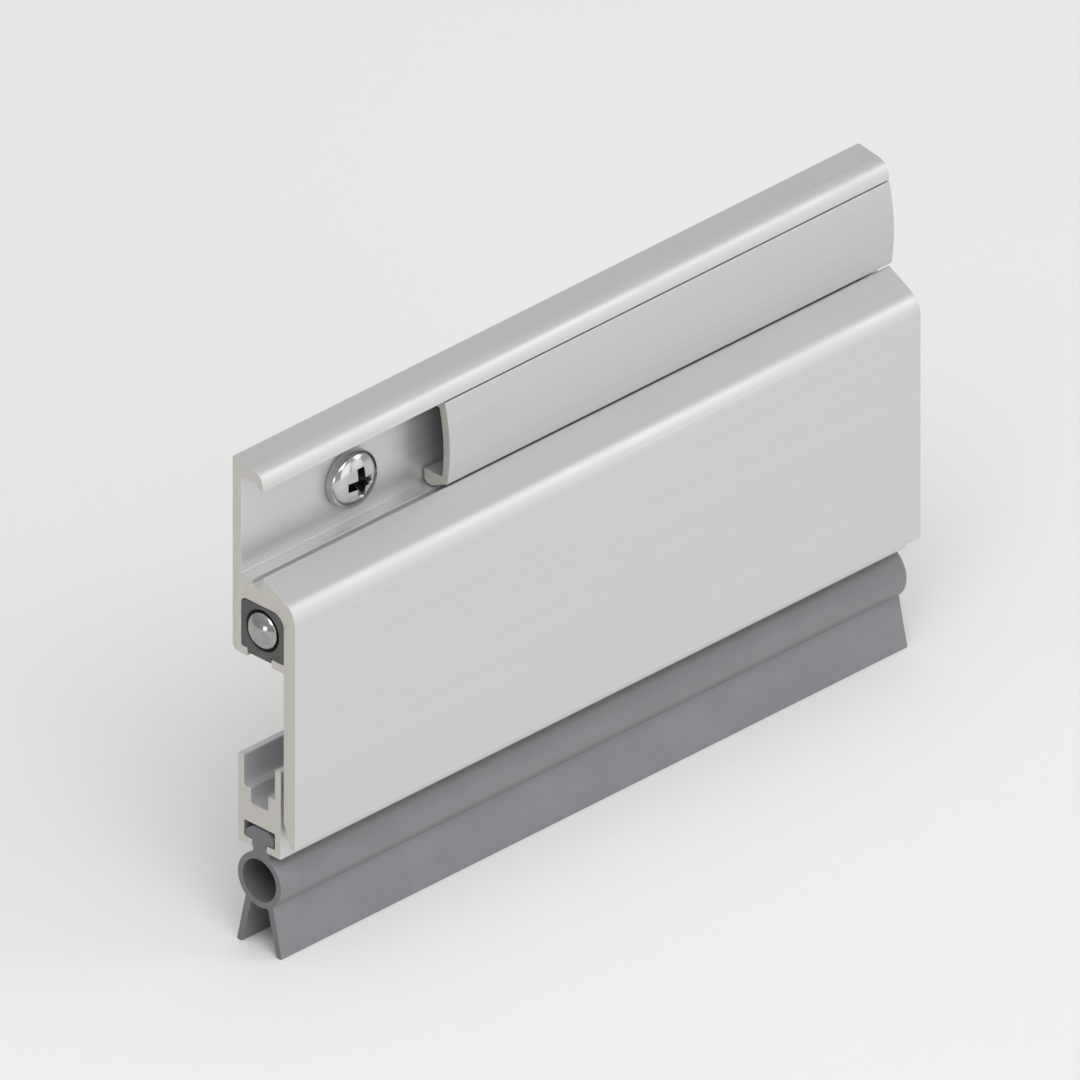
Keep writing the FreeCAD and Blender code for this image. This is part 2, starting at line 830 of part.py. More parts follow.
def make_spring_slider():
    body = new_body("spring_slider")
    pocket_block(
        body,
        dim.slide_gap,
        dim.neck_gap,
        at.slider_back,
        dim.slider_length,
        at.slider_back,
        dim.slider_length,
        at.neck_bottom,
    )
    seat = section_sketch(body, at.slider_front)
    draw_circle(seat, at.plunger_out, at.plunger_up, dim.rod_radius + dim.fit_gap)
    cut_in(body, seat, dim.rod_seat + dim.fit_gap)
    hole = side_sketch(body, 0)
    draw_circle(hole, at.pin_along, at.plunger_up, dim.pin_radius + dim.fit_gap)
    cut_through(body, hole)
    cut_rivet_hole(body, at.slider_rivet_along)


def make_spring_anchor():
    """Fixed block: the neck carries the leaf, and the bare end takes the grub screw."""
    body = new_body("spring_anchor")
    pocket_block(
        body,
        dim.fit_gap,
        dim.neck_gap,
        at.anchor_back,
        dim.anchor_length,
        at.anchor_front - dim.leaf_tab,
        dim.leaf_tab,
        at.neck_bottom,
    )
    thread = plan_sketch(body)
    draw_circle(thread, at.anchor_back + dim.grub_inset, at.spring_line, dim.grub_radius + dim.fit_gap)
    cut_through(body, thread)
    cut_rivet_hole(body, at.anchor_rivet_along)


def make_spring_shoe():
    """Block pressed into the bar's channel, with a tongue in the chase."""
    body = new_body("spring_shoe")
    middle = at.spring_line
    half = at.bar_inside - dim.fit_gap
    tongue = dim.chase_width / 2 - dim.fit_gap
    tongue_low = at.channel_floor - dim.shoe_tongue
    section = section_sketch(body, at.shoe_back)
    draw(
        section,
        [
            (middle - half, at.channel_floor),
            (middle - tongue, at.channel_floor),
            (middle - tongue, tongue_low),
            (middle + tongue, tongue_low),
            (middle + tongue, at.channel_floor),
            (middle + half, at.channel_floor),
            (middle + half, at.shoe_top),
            (middle - half, at.shoe_top),
        ],
    )
    pad(body, section, dim.shoe_length)
    hole = plan_sketch(body, at.shoe_top)
    draw_circle(hole, at.shoe_screw_along, middle, dim.shoe_screw_radius + dim.fit_gap)
    cut_in(body, hole, dim.shoe_height + dim.fit_gap)


def make_leaf_spring():
    """Bowed strip: level tabs at both ends and the middle, joined by S-bends."""
    body = new_body("leaf_spring")
    half = dim.leaf_thickness / 2
    lean_along = half * at.leaf_sine
    lean_up = half * at.leaf_cosine
    bend_up = (at.leaf_end + at.leaf_middle) / 2
    front_bend = (at.slider_back + at.shoe_front) / 2
    back_bend = (at.shoe_back + at.anchor_front) / 2
    wide = at.leaf_radius + half
    tight = at.leaf_radius - half
    ends_high = at.leaf_end + half
    ends_low = at.leaf_end - half
    middle_high = at.leaf_middle + half
    middle_low = at.leaf_middle - half
    section = side_sketch(body, at.spring_line)
    draw(
        section,
        [
            # Upper face, from the slider to the anchor
            (at.slider_back + dim.leaf_tab, ends_high),
            (at.slider_back, ends_high, LEFT, wide),
            (front_bend - lean_along, bend_up + lean_up, RIGHT, tight),
            (at.shoe_front, middle_high),
            (at.shoe_back, middle_high, RIGHT, tight),
            (back_bend + lean_along, bend_up + lean_up, LEFT, wide),
            (at.anchor_front, ends_high),
            # Lower face, back again
            (at.anchor_front - dim.leaf_tab, ends_high),
            (at.anchor_front - dim.leaf_tab, ends_low),
            (at.anchor_front, ends_low, RIGHT, tight),
            (back_bend - lean_along, bend_up - lean_up, LEFT, wide),
            (at.shoe_back, middle_low),
            (at.shoe_front, middle_low, LEFT, wide),
            (front_bend + lean_along, bend_up - lean_up, RIGHT, tight),
            (at.slider_back, ends_low),
            (at.slider_back + dim.leaf_tab, ends_low),
        ],
    )
    pad(body, section, dim.leaf_width, symmetric=True)
    holes = plan_sketch(body)
    for along in (at.slider_rivet_along, at.anchor_rivet_along):
        draw_circle(holes, along, at.spring_line, dim.rivet_radius + dim.leaf_hole_gap)
    slot = dim.shoe_screw_radius + dim.leaf_hole_gap
    draw(
        holes,
        [
            (at.slot_end_along, at.spring_line - slot),
            (at.shoe_screw_along, at.spring_line - slot, LEFT, slot),
            (at.shoe_screw_along + slot, at.spring_line, LEFT, slot),
            (at.shoe_screw_along, at.spring_line + slot),
            (at.slot_end_along, at.spring_line + slot, LEFT, slot),
            (at.slot_end_along - slot, at.spring_line, LEFT, slot),
        ],
    )
    cut_through(body, holes)


make_housing()
make_cover_strip()
make_drop_bar()
make_seal_gasket()
make_mounting_screws()
make_plunger_guide()
make_plunger_button()
make_plunger_rod()
make_rod_pin()
make_spring_slider()
make_rivet("slider_rivet", at.slider_rivet_along)
make_leaf_spring()
make_spring_shoe()
make_shoe_screw()
make_spring_anchor()
make_rivet("anchor_rivet", at.anchor_rivet_along)
make_anchor_grub_screw()

# Check the finished document before any file is written

doc.recompute()
for item in doc.Objects:
    if "Invalid" in item.State or "Error" in item.State:
        raise RuntimeError(f"{item.Name} failed: {item.State}")
for feature in cuts:
    if feature.BaseFeature.Shape.Volume - feature.Shape.Volume < 1e-6:
        raise RuntimeError(f"{feature.Name} cuts nothing")
for body in bodies:
    if body.Shape.isNull() or not body.Shape.isValid():
        raise RuntimeError(f"{body.Label} has no valid shape")

os.makedirs("parts", exist_ok=True)
for body in bodies:
    body.Shape.exportStep(f"parts/{body.Label}.step")
    print(f"{body.Label}: {len(body.Shape.Solids)} solid, {body.Shape.Volume:.1f} cubic mm")
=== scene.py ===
"""Looks of an automatic door bottom seal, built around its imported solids.

Each extruded piece is swept again from the outline of its own solid's end, with rounded corners and deburred
ends. The mounting screws, with their recess and thread, and the plunger button are made anew. The other
pieces are copies of their solids with broken edges.
"""

import math

import bmesh
import bpy
from mathutils import Matrix, Vector


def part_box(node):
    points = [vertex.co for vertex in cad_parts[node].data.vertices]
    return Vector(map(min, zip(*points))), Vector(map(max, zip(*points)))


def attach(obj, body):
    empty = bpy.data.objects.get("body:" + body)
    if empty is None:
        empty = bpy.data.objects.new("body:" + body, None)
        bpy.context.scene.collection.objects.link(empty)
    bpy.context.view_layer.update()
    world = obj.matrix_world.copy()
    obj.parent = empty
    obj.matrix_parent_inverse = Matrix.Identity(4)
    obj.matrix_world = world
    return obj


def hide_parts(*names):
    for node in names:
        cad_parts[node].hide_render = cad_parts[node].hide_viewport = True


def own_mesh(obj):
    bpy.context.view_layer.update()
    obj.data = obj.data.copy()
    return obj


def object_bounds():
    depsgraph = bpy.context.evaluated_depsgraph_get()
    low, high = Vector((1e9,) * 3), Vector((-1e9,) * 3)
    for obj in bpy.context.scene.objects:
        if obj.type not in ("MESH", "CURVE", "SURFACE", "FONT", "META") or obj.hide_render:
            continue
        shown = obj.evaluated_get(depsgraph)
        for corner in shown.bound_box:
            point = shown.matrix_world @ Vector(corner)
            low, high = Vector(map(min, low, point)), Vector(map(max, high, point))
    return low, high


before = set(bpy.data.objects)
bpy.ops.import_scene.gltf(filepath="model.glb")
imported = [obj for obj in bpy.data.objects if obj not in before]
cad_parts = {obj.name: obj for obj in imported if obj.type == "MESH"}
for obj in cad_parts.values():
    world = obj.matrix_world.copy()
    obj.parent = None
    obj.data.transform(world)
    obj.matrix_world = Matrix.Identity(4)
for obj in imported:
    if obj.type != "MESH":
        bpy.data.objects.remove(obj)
cad_low, cad_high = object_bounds()

MM = 0.001

# Camera, floor and light

VIEW_AZIMUTH = -45.0
VIEW_ELEVATION = 30.0
VIEW_WIDTH = 122 * MM
CAMERA_DISTANCE = 0.6
FLOOR_SIDE = 6.0
FLOOR_COLOUR = (0.86, 0.86, 0.85)
FLOOR_ROUGHNESS = 0.75
# Height, from nought straight down to one straight up, and the colour of the surroundings there
SKY_STOPS = [
    (0.0, (0.6, 0.6, 0.6)),
    (0.5, (0.5, 0.5, 0.5)),
    (0.75, (0.53, 0.535, 0.54)),
    (1.0, (0.62, 0.62, 0.62)),
]
# Name, direction from the object, distance, side, and share of white that a white card facing it would show
LAMPS = [
    ("key_light", (-0.45, -0.5, 0.95), 1.8, 1.1, 0.46),
    ("edge_light", (0.61, -0.58, 0.53), 1.8, 0.72, 0.085),
    ("low_light", (0.49, -0.85, 0.17), 1.8, 0.9, 0.058),
    ("front_light", (-0.1, -1.0, 0.3), 1.8, 1.1, 0.13),
    ("end_light", (-1.0, -0.1, 0.15), 1.8, 0.5, 0.07),
]


def direction_of(azimuth, elevation):
    """Unit vector from the object towards a viewer at this azimuth and elevation, in degrees."""
    turn = math.radians(azimuth)
    rise = math.radians(elevation)
    return Vector((math.sin(turn) * math.cos(rise), -math.cos(turn) * math.cos(rise), math.sin(rise)))


def aim(name, data, away, distance):
    """New object at a distance from the middle of the seal, looking at it."""
    made = bpy.data.objects.new(name, data)
    bpy.context.scene.collection.objects.link(made)
    made.location = (cad_low + cad_high) / 2 + away * distance
    made.rotation_euler = (-away).to_track_quat("-Z", "Y").to_euler()
    return made


def add_camera():
    """Orthographic camera at the picture's angle."""
    data = bpy.data.cameras.new("camera")
    data.type = "ORTHO"
    data.ortho_scale = VIEW_WIDTH
    away = direction_of(VIEW_AZIMUTH, VIEW_ELEVATION)
    bpy.context.scene.camera = aim("camera", data, away, CAMERA_DISTANCE)


def add_lamp(name, direction, distance, side, share):
    """Square soft lamp; a white card facing it would show about the given share of white."""
    data = bpy.data.lights.new(name, "AREA")
    data.shape = "SQUARE"
    data.size = side
    data.energy = share * math.pi**2 * distance**2
    aim(name, data, Vector(direction).normalized(), distance)


def add_sky():
    """Even grey surroundings, a little darker at the horizon."""
    world = bpy.data.worlds.new("studio")
    bpy.context.scene.world = world
    world.use_nodes = True
    nodes = world.node_tree.nodes
    links = world.node_tree.links
    place = nodes.new("ShaderNodeTexCoord")
    parts = nodes.new("ShaderNodeSeparateXYZ")
    height = nodes.new("ShaderNodeMapRange")
    height.inputs["From Min"].default_value = -1.0
    ramp = nodes.new("ShaderNodeValToRGB")
    set_stops(ramp, SKY_STOPS)
    links.new(place.outputs["Generated"], parts.inputs[0])
    links.new(parts.outputs["Z"], height.inputs["Value"])
    links.new(height.outputs[0], ramp.inputs[0])
    links.new(ramp.outputs[0], nodes["Background"].inputs["Color"])


def add_floor():
    """Plain pale floor under the lips of the seal."""
    bpy.ops.mesh.primitive_plane_add(size=FLOOR_SIDE, location=(0, 0, cad_low.z))
    floor = bpy.context.object
    floor.name = "floor"
    finish = Finish("floor_paint", Roughness=FLOOR_ROUGHNESS)
    finish.shader.inputs["Base Color"].default_value = (*FLOOR_COLOUR, 1)
    floor.data.materials.append(finish.material)


# Nodes of the materials

NOISE_LOW = 0.3  # most of a noise's values lie between these two
NOISE_HIGH = 0.7
END_COSINE = 0.9  # faces whose normal is nearer to the length than this are cut ends
FADE_START = 0.86  # share of its reach at which a mask starts to fade
# Sockets of a colour mix, by number because their names repeat
MIX_SHARE = 0
MIX_FIRST = 6
MIX_SECOND = 7
MIX_RESULT = 2


def set_stops(ramp, stops):
    """Fill a colour ramp with (place, colour) stops; a plain number stands for a grey."""
    elements = ramp.color_ramp.elements
    while len(elements) > 1:
        elements.remove(elements[-1])
    for index, (place, colour) in enumerate(stops):
        element = elements[0] if index == 0 else elements.new(place)
        element.position = place
        red_green_blue = colour if isinstance(colour, tuple) else (colour,) * 3
        element.color = (*red_green_blue, 1)


class Finish:
    """One node material: a principled shader and short calls for the nodes that feed it."""

    def __init__(self, name, **sockets):
        self.material = bpy.data.materials.new(name)
        self.material.use_nodes = True
        self.nodes = self.material.node_tree.nodes
        self.links = self.material.node_tree.links
        self.shader = self.nodes["Principled BSDF"]
        for socket, value in sockets.items():
            self.shader.inputs[socket.replace("_", " ")].default_value = value
        self.place = self.nodes.new("ShaderNodeTexCoord")

    def set_or_link(self, socket, value):
        """Give a socket a number, or the output of another node."""
        if isinstance(value, (int, float)):
            socket.default_value = value
        else:
            self.links.new(value, socket)

    def mapped(self, stretch, shift=(0, 0, 0)):
        """Object coordinates, stretched and then shifted."""
        node = self.nodes.new("ShaderNodeMapping")
        node.inputs["Location"].default_value = shift
        node.inputs["Scale"].default_value = stretch
        self.links.new(self.place.outputs["Object"], node.inputs["Vector"])
        return node.outputs[0]

    def noise(self, stretch, detail=2.0, roughness=0.5):
        """Noise with so many cells a metre along each axis."""
        node = self.nodes.new("ShaderNodeTexNoise")
        node.inputs["Scale"].default_value = 1.0
        node.inputs["Detail"].default_value = detail
        node.inputs["Roughness"].default_value = roughness
        self.links.new(self.mapped(stretch), node.inputs["Vector"])
        return node.outputs["Fac"]

    def arcs(self, shift, scale, distortion, detail=2.0):
        """Arcs about a line along the length, as a saw blade leaves them."""
        node = self.nodes.new("ShaderNodeTexWave")
        node.wave_type = "RINGS"
        node.rings_direction = "X"
        node.inputs["Scale"].default_value = scale
        node.inputs["Distortion"].default_value = distortion
        node.inputs["Detail"].default_value = detail
        self.links.new(self.mapped((1, 1, 1), shift), node.inputs["Vector"])
        return node.outputs["Fac"]

    def math(self, operation, first, second):
        """One sum on two values, either of which may be a number."""
        node = self.nodes.new("ShaderNodeMath")
        node.operation = operation
        for socket, value in zip(node.inputs, (first, second)):
            self.set_or_link(socket, value)
        return node.outputs[0]

    def cut_end(self):
        """One on faces square to the length, which were sawn or cut, and nought elsewhere."""
        parts = self.nodes.new("ShaderNodeSeparateXYZ")
        self.links.new(self.place.outputs["Normal"], parts.inputs[0])
        return self.math("GREATER_THAN", self.math("ABSOLUTE", parts.outputs["X"], 0.0), END_COSINE)

    def near(self, middle, reach):
        """One inside an ellipsoid with this middle and these half axes, fading to nought at its skin."""
        node = self.nodes.new("ShaderNodeVectorMath")
        node.operation = "LENGTH"
        stretch = [1 / half for half in reach]
        shift = [-place * scale for place, scale in zip(middle, stretch)]
        self.links.new(self.mapped(stretch, shift), node.inputs[0])
        return self.spread(node.outputs["Value"], 1.0, 0.0, FADE_START, 1.0)

    def spread(self, value, first, last, low=NOISE_LOW, high=NOISE_HIGH):
        """Colours or greys from first to last, as a value goes from low to high."""
        node = self.nodes.new("ShaderNodeValToRGB")
        set_stops(node, [(low, first), (high, last)])
        self.links.new(value, node.inputs[0])
        return node.outputs[0]

    def mix(self, share, first, second):
        """First and second mixed by share."""
        node = self.nodes.new("ShaderNodeMix")
        node.data_type = "RGBA"
        for number, value in ((MIX_SHARE, share), (MIX_FIRST, first), (MIX_SECOND, second)):
            self.set_or_link(node.inputs[number], value)
        return node.outputs[MIX_RESULT]

    def feed(self, socket, value):
        """Link a value to one of the shader's sockets."""
        self.links.new(value, self.shader.inputs[socket])

    def bump(self, height, depth, strength):
        """Raise the surface by a height of nought to one times depth, in metres."""
        node = self.nodes.new("ShaderNodeBump")
        node.inputs["Strength"].default_value = strength
        node.inputs["Distance"].default_value = depth
        self.links.new(height, node.inputs["Height"])
        self.feed("Normal", node.outputs[0])


# Finishes: a colour is given as its dark and its pale end, a texture as cells a metre along, across and up

ANODISED = ((0.61, 0.617, 0.615), (0.65, 0.657, 0.655))
ANODISED_COVER = ((0.54, 0.552, 0.55), (0.58, 0.592, 0.59))
ANODISED_ROUGHNESS = (0.36, 0.44)
SAWN = ((0.53, 0.515, 0.475), (0.57, 0.555, 0.515))
SAWN_ROUGHNESS = (0.5, 0.44)
DIE_LINES = (18, 4200, 4200)
HANDLING_MARKS = (70, 90, 90)
SAW_SHIFT = (0, 0.05, 0.11)
SAW_SCALE = 1900.0
SAW_WAVER = 1.2
SAW_SPREAD = (0.2, 0.8)

RUBBER_SKIN = ((0.19, 0.191, 0.203), (0.22, 0.221, 0.233))
# Colour of the cut ends, also used as painted shade inside the bulb's bore
RUBBER_CUT_AND_BORE_SHADE = ((0.12, 0.12, 0.126), (0.155, 0.155, 0.162))
RUBBER_ROUGHNESS = (0.32, 0.44)
RUBBER_LINES = (10, 2400, 2400)
RUBBER_BLOOM = (160, 260, 260)
RUBBER_GRAIN = (9000, 9000, 9000)
RUBBER_GRAIN_SHARE = 0.4
BLOOM_SPREAD = (0.3, 0.75)
BORE_SHADE_LENGTH = 1.0  # the painted shade of the bore reaches far beyond both ends

NICKEL = ((0.48, 0.48, 0.48), (0.58, 0.58, 0.57))
POLISHED = ((0.33, 0.33, 0.33), (0.43, 0.43, 0.42))
# Painted shade for the screws' cross recesses
RECESS_SHADE = ((0.12, 0.12, 0.12), (0.17, 0.17, 0.165))
PLATE_ROUGHNESS = (0.12, 0.21)
PLATE_HAZE = (700, 700, 700)

DARK_PLASTIC = ((0.055, 0.055, 0.055), (0.08, 0.079, 0.077))
DARK_PLASTIC_ROUGHNESS = (0.36, 0.5)
PALE_PLASTIC = ((0.52, 0.51, 0.47), (0.58, 0.57, 0.53))
PALE_PLASTIC_ROUGHNESS = (0.42, 0.56)
MOULD_GRAIN = (6500, 6500, 6500)
MOULD_FLOW = (300, 500, 500)

ZINC = ((0.42, 0.42, 0.41), (0.53, 0.53, 0.5))
ZINC_MARKS = (900, 900, 900)
ROLLED_STEEL = ((0.3, 0.3, 0.31), (0.42, 0.41, 0.4))
ROLLING_MARKS = (40, 2600, 2600)
STEEL_ROUGHNESS = (0.26, 0.42)


def anodised_aluminium(name, colour):
    """Satin anodised extrusion: fine die lines along the length, faint handling marks, sawn ends."""
    finish = Finish(name, Metallic=0.7)
    die_lines = finish.noise(DIE_LINES, detail=3.0, roughness=0.6)
    handling = finish.noise(HANDLING_MARKS, detail=3.0)
    saw_marks = finish.arcs(SAW_SHIFT, SAW_SCALE, SAW_WAVER)
    end = finish.cut_end()
    skin = finish.spread(die_lines, *colour)
    sawn = finish.spread(saw_marks, *SAWN, *SAW_SPREAD)
    finish.feed("Base Color", finish.mix(end, skin, sawn))
    satin = finish.spread(handling, *ANODISED_ROUGHNESS)
    raw = finish.spread(saw_marks, *SAWN_ROUGHNESS, *SAW_SPREAD)
    finish.feed("Roughness", finish.mix(end, satin, raw))
    finish.bump(finish.mix(end, die_lines, saw_marks), depth=0.004 * MM, strength=0.5)
    return finish.material


def grey_rubber(name, bore_middle, bore_reach):
    """Extruded rubber: soft lines along the length, a faint sheen and bloom, darker cut ends, and painted
    shade in the bore.
    """
    finish = Finish(name, Specular_IOR_Level=0.5)
    lines = finish.noise(RUBBER_LINES)
    bloom = finish.noise(RUBBER_BLOOM, detail=4.0, roughness=0.65)
    grain = finish.noise(RUBBER_GRAIN)
    skin = finish.spread(bloom, *RUBBER_SKIN, *BLOOM_SPREAD)
    cut = finish.spread(grain, *RUBBER_CUT_AND_BORE_SHADE)
    # Painted shade inside the bulb's bore, where little light reaches
    bore = finish.near(bore_middle, (BORE_SHADE_LENGTH, bore_reach, bore_reach))
    inside = finish.math("MAXIMUM", finish.cut_end(), bore)
    finish.feed("Base Color", finish.mix(inside, skin, cut))
    finish.feed("Roughness", finish.spread(bloom, *RUBBER_ROUGHNESS, *BLOOM_SPREAD))
    finish.bump(finish.mix(RUBBER_GRAIN_SHARE, lines, grain), depth=0.008 * MM, strength=0.6)
    return finish.material


def bright_steel(name, colour, hollows=()):
    """Bright nickel plate with faint polishing haze; narrow hollows are painted dark as shade."""
    finish = Finish(name, Metallic=1.0)
    haze = finish.noise(PLATE_HAZE, detail=3.0)
    plate = finish.spread(haze, *colour)
    recess_shade = finish.spread(haze, *RECESS_SHADE)
    for middle, reach in hollows:
        # Painted shade in each narrow hollow
        plate = finish.mix(finish.near(middle, reach), plate, recess_shade)
    finish.feed("Base Color", plate)
    finish.feed("Roughness", finish.spread(haze, *PLATE_ROUGHNESS))
    finish.bump(haze, depth=0.003 * MM, strength=0.5)
    return finish.material


def moulded_plastic(name, colour, roughness):
    """Moulded plastic with a fine spark-eroded grain."""
    finish = Finish(name, Specular_IOR_Level=0.45)
    grain = finish.noise(MOULD_GRAIN)
    flow = finish.noise(MOULD_FLOW)
    finish.feed("Base Color", finish.spread(flow, *colour))
    finish.feed("Roughness", finish.spread(grain, *roughness))
    finish.bump(grain, depth=0.012 * MM, strength=0.7)
    return finish.material


def plain_steel(name, colour, stretch):
    """Plated or rolled steel, with its marks stretched along the way that it was worked."""
    finish = Finish(name, Metallic=1.0)
    marks = finish.noise(stretch, detail=3.0)
    finish.feed("Base Color", finish.spread(marks, *colour))
    finish.feed("Roughness", finish.spread(marks, *STEEL_ROUGHNESS))
    finish.bump(marks, depth=0.004 * MM, strength=0.5)
    return finish.material


# Meshes

JOIN_DISTANCE = 0.001 * MM
FLAT_ANGLE = math.radians(1)  # faces that meet at less than this become one
CORNER_ANGLE = math.radians(24)  # an outline that turns by less than this is a curve
CORNER_STEPS = 4
CORNER_SHARE = 0.42  # of each neighbouring side, the most that a corner's arc takes
MITRE_LIMIT = 0.5  # an inset corner moves by no more than the distance over this
DEBURR_STEPS = 2
BEVEL_ANGLE = math.radians(34)
BEVEL_SEGMENTS = 2
LARGE_FACE_WEIGHT = 80
# Edges that turn by more than these angles, in degrees, stay crisp
PROFILE_CREASE = 40
SMALL_CREASE = 50
SCREW_CREASE = 35
BUTTON_CREASE = 30


def make_object(name, shape):
    """New object in the scene from an editable mesh, which is used up."""
    mesh = bpy.data.meshes.new(name)
    shape.to_mesh(mesh)
    shape.free()
    made = bpy.data.objects.new(name, mesh)
    bpy.context.scene.collection.objects.link(made)
    return made


def make_closed(name, shape):
    """The same for a closed skin, whose faces are first turned outwards."""
    bmesh.ops.recalc_face_normals(shape, faces=shape.faces)
    return make_object(name, shape)


def apply_modifiers(made):
    """Put what an object's modifiers make into its mesh."""
    shaped = made.evaluated_get(bpy.context.evaluated_depsgraph_get())
    mesh = bpy.data.meshes.new_from_object(shaped)
    made.modifiers.clear()
    made.data = mesh


def smooth(made, crease):
    """Smooth shading in which large flat faces stay flat and edges over an angle stay crisp."""
    made.data.shade_smooth()
    made.data.set_sharp_from_angle(angle=math.radians(crease))
    even = made.modifiers.new("even_normals", "WEIGHTED_NORMAL")
    even.keep_sharp = True
    even.weight = LARGE_FACE_WEIGHT
    apply_modifiers(made)


def combine(made, other, operation):
    """Cut another object out of this one, or fuse it to it; the other object goes."""
    step = made.modifiers.new("combine", "BOOLEAN")
    step.operation = operation
    step.solver = "EXACT"
    step.object = other
    apply_modifiers(made)
    bpy.data.objects.remove(other)


def joined(name, parts):
    """One object from several, each given with a shift; the parts themselves go."""
    shape = bmesh.new()
    for made, shift in parts:
        mesh = made.data.copy()
        mesh.transform(Matrix.Translation(shift))
        shape.from_mesh(mesh)
    for made in {made for made, shift in parts}:
        bpy.data.objects.remove(made)
    bmesh.ops.dissolve_degenerate(shape, dist=JOIN_DISTANCE, edges=shape.edges)
    return make_object(name, shape)


def solid_of(node):
    """A node's solid as an editable mesh, with its seams joined."""
    shape = bmesh.new()
    shape.from_mesh(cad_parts[node].data)
    bmesh.ops.remove_doubles(shape, verts=shape.verts, dist=JOIN_DISTANCE)
    return shape


def softened(name, node, width):
    """A copy of a node's solid with its hard edges broken."""
    shape = solid_of(node)
    bmesh.ops.dissolve_limit(shape, angle_limit=FLAT_ANGLE, verts=shape.verts, edges=shape.edges)
    made = make_object(name, shape)
    edge = made.modifiers.new("broken_edges", "BEVEL")
    edge.limit_method = "ANGLE"
    edge.angle_limit = BEVEL_ANGLE
    edge.width = width
    edge.segments = BEVEL_SEGMENTS
    apply_modifiers(made)
    smooth(made, SMALL_CREASE)
    return made


def end_outlines(node):
    """Closed (y, z) outlines of a node's end at its lowest x, each with its material on the left."""
    solid = solid_of(node)
    low = min(vert.co.x for vert in solid.verts)
    end = {face for face in solid.faces if all(vert.co.x - low < JOIN_DISTANCE for vert in face.verts)}
    follows = {}
    for face in end:
        for loop in face.loops:
            if not any(other in end for other in loop.edge.link_faces if other is not face):
                follows[loop.link_loop_next.vert] = loop.vert
    outlines = []
    while follows:
        first, vert = follows.popitem()
        outline = [first.co.yz]
        while vert is not first:
            outline.append(vert.co.yz)
            vert = follows.pop(vert)
        outlines.append([point.copy() for point in outline])
    solid.free()
    return outlines


def signed_turn(before, after):
    """Angle from one 2D direction to the next, positive to the left."""
    return math.atan2(before.x * after.y - before.y * after.x, before.dot(after))


def rounded(outline, radius):
    """The outline with each sharp corner turned into a small arc."""
    result = []
    count = len(outline)
    for index, point in enumerate(outline):
        before = point - outline[index - 1]
        after = outline[(index + 1) % count] - point
        turn = signed_turn(before, after)
        if abs(turn) < CORNER_ANGLE:
            result.append(point)
            continue
        half = math.tan(abs(turn) / 2)
        reach = min(radius * half, CORNER_SHARE * before.length, CORNER_SHARE * after.length)
        start = point - before.normalized() * reach
        side = Vector((-before.y, before.x)).normalized() * math.copysign(reach / half, turn)
        middle = start + side
        for step in range(CORNER_STEPS + 1):
            result.append(middle + Matrix.Rotation(turn * step / CORNER_STEPS, 2) @ -side)
    return result


def inset(outline, distance):
    """The outline moved into the material by a distance."""
    result = []
    count = len(outline)
    for index, point in enumerate(outline):
        before = (point - outline[index - 1]).normalized()
        after = (outline[(index + 1) % count] - point).normalized()
        along = (before + after).normalized()
        inward = Vector((-along.y, along.x))
        result.append(point + inward * distance / max(MITRE_LIMIT, before.dot(along)))
    return result


def bridge(shape, one, two):
    """Faces between two rings of points, either of which may be a single point."""
    count = max(len(one), len(two))
    for index in range(count):
        following = (index + 1) % count
        corners = [one[index % len(one)], two[index % len(two)]]
        corners += [two[following % len(two)], one[following % len(one)]]
        shape.faces.new(list(dict.fromkeys(corners)))


def extruded(name, node, corner_radius, deburr):
    """A node swept again along the length, with rounded corners and deburred ends."""
    low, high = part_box(node)
    rings = []
    for step in range(DEBURR_STEPS + 1):
        turn = math.radians(90) * step / DEBURR_STEPS
        rings.append((low.x + deburr * (1 - math.cos(turn)), deburr * (1 - math.sin(turn))))
    rings.append((low.x + (high.x - low.x) / 2, 0.0))
    rings += [(high.x + low.x - x, depth) for x, depth in rings[DEBURR_STEPS::-1]]
    shape = bmesh.new()
    ends = {0: [], len(rings) - 1: []}
    for outline in end_outlines(node):
        edge_line = rounded(outline, corner_radius)
        loops = [[shape.verts.new((x, *point)) for point in inset(edge_line, depth)] for x, depth in rings]
        for one, two in zip(loops, loops[1:]):
            bridge(shape, one, two)
        for ring, edges in ends.items():
            loop = loops[ring]
            edges += [shape.edges.get(pair) for pair in zip(loop, loop[1:] + loop[:1])]
    for edges in ends.values():
        bmesh.ops.triangle_fill(shape, use_beauty=True, edges=edges)
    return make_closed(name, shape)


def block(name, low, high):
    """A plain box between two corners."""
    shape = bmesh.new()
    bmesh.ops.create_cube(shape)
    bmesh.ops.scale(shape, vec=high - low, verts=shape.verts)
    bmesh.ops.translate(shape, vec=(low + high) / 2, verts=shape.verts)
    return make_object(name, shape)


def tapered_cross(name, ends):
    """A cross that tapers between two ends, each given as (along y, reach of an arm, half of its width)."""
    shape = bmesh.new()
    loops = []
    for along, reach, half in ends:
        loop = []
        quarter = [(reach, -half), (reach, half), (half, half)]
        for turn in range(4):
            loop += [shape.verts.new((x, along, z)) for x, z in quarter]
            quarter = [(-z, x) for x, z in quarter]
        loops.append(loop)
        shape.faces.new(loop)
    bridge(shape, *loops)
    return make_closed(name, shape)


def ring_point(radius, along, step, steps):
    """Point about the y axis after so many of the steps of a full turn."""
    angle = math.tau * step / steps
    return (radius * math.cos(angle), along, radius * math.sin(angle))


def turned(name, profile, steps):
    """A profile of (radius, along y) points, turned about the y axis; it starts and ends on the axis."""
    shape = bmesh.new()
    rings = []
    for radius, along in profile:
        count = steps if radius else 1
        rings.append([shape.verts.new(ring_point(radius, along, step, steps)) for step in range(count)])
    for one, two in zip(rings, rings[1:]):
        bridge(shape, one, two)
    return make_closed(name, shape)


